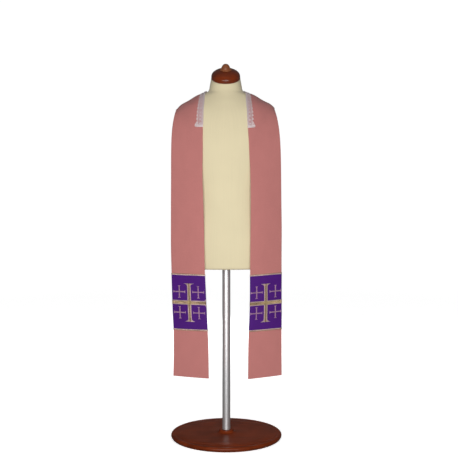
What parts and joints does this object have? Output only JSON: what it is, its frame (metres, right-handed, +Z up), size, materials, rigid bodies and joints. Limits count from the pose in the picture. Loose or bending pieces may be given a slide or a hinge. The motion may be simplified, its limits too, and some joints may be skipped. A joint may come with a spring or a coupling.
{
  "type": "clerical stole on a dress form",
  "caption": "Long rose cloth stole with lace at the neck and a purple panel of gold crosses at each end, worn by a limbless dress form on a round stand.",
  "frame": {"origin": "centre of the stand's underside, on the floor", "axes": "+Z up along the pole, the front faces -Y, and the wearer's left half of the stole is at +X"},
  "size_m": [0.46, 0.46, 1.5382],
  "materials": {
    "rose_cloth": "plain close weave, matt with a slight sheen",
    "purple_cloth": "close satin weave",
    "gold_thread": "metallic gold thread in satin stitch",
    "white_lace": "white cotton lace, scalloped at its outer edge",
    "cream_jersey": "fine stretched jersey",
    "stained_wood": "red-brown stain under gloss lacquer",
    "knob_wood": "the same stain, rubbed lighter, under gloss lacquer",
    "pole_steel": "satin steel"
  },
  "bodies": {
    "root": {"stand_base": "stained_wood", "stand_pole": "pole_steel", "form_body": "cream_jersey", "neck_cap": "stained_wood", "cap_knob": "knob_wood", "stole_left": "rose_cloth", "stole_right": "rose_cloth", "panel_left": "purple_cloth", "panel_right": "purple_cloth", "braid_left_bottom": "gold_thread", "braid_left_top": "gold_thread", "braid_right_bottom": "gold_thread", "braid_right_top": "gold_thread", "cross_left": "gold_thread", "cross_right": "gold_thread", "crosslet_left_1": "gold_thread", "crosslet_left_2": "gold_thread", "crosslet_left_3": "gold_thread", "crosslet_left_4": "gold_thread", "crosslet_right_1": "gold_thread", "crosslet_right_2": "gold_thread", "crosslet_right_3": "gold_thread", "crosslet_right_4": "gold_thread", "lace_collar": "white_lace"}
  },
  "joints": []
}
